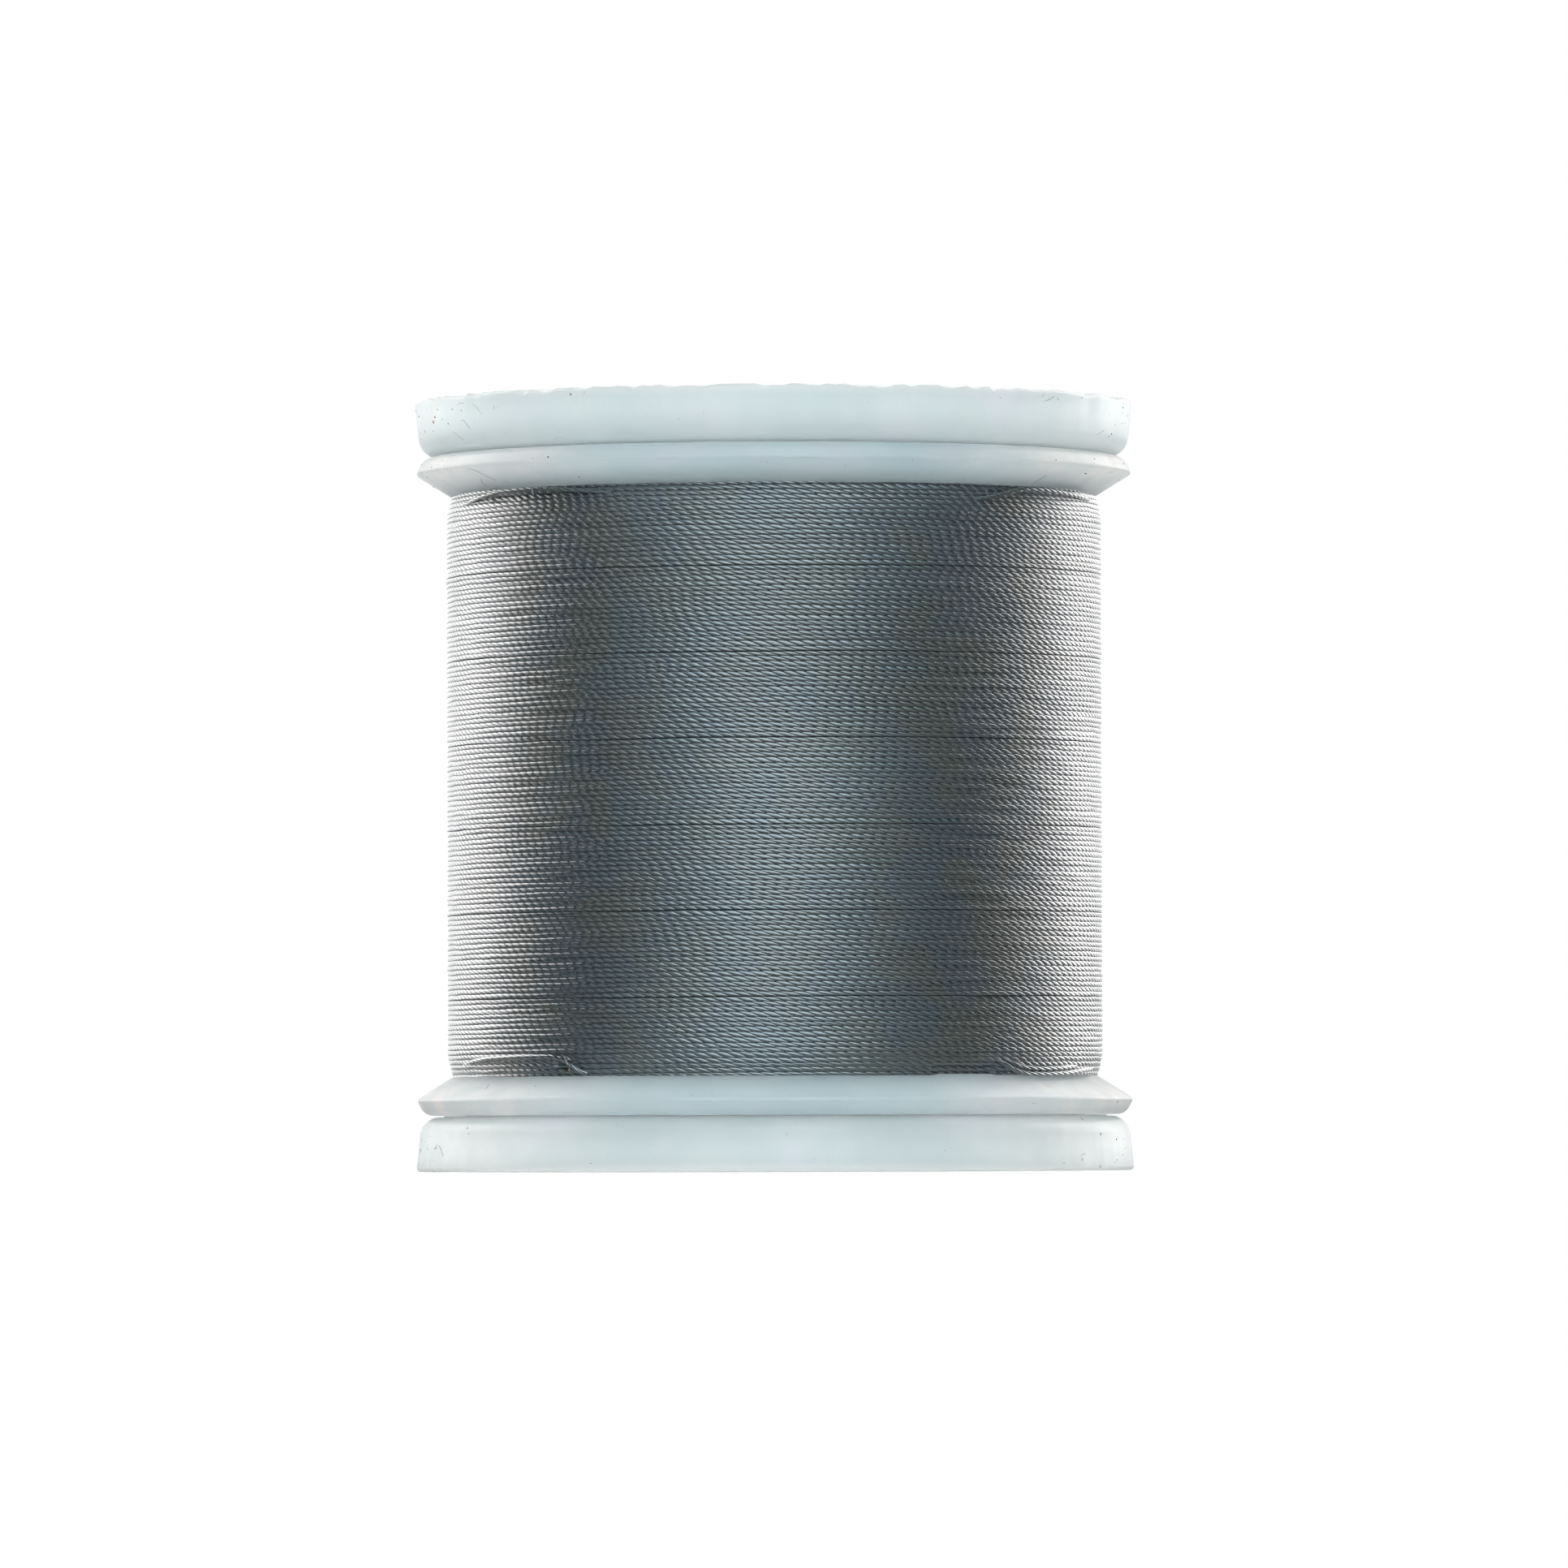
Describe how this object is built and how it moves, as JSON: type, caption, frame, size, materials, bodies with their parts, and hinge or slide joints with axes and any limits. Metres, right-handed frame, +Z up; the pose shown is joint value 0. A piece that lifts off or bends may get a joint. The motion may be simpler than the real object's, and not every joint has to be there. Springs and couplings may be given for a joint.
{
  "type": "filament thread spool",
  "caption": "Small snap-end spool of twisted filament thread: a flanged barrel wound with thread, with a cap at each end that pulls out to hold the thread's end.",
  "frame": {"origin": "on the spool's axis, at the foot of the lower cap", "axes": "+Z up along the spool's axis, +Y towards the side where the thread's end leaves the winding"},
  "size_m": [0.028, 0.0282, 0.03],
  "materials": {
    "spool_plastic": "pale blue-green moulded plastic, satin gloss",
    "thread": "dark grey three-ply filament thread with a silky sheen"
  },
  "bodies": {
    "spool": {"barrel": "spool_plastic", "thread_winding": "thread", "thread_tail": "thread"},
    "upper_cap": {"upper_cap": "spool_plastic"},
    "lower_cap": {"lower_cap": "spool_plastic"}
  },
  "joints": [
    {"name": "upper_cap_slide", "type": "slide", "parent": "spool", "child": "upper_cap", "axis": [0, 0, 1], "range_m": [0, 0.002]},
    {"name": "lower_cap_slide", "type": "slide", "parent": "spool", "child": "lower_cap", "axis": [0, 0, -1], "range_m": [0, 0.002]}
  ]
}
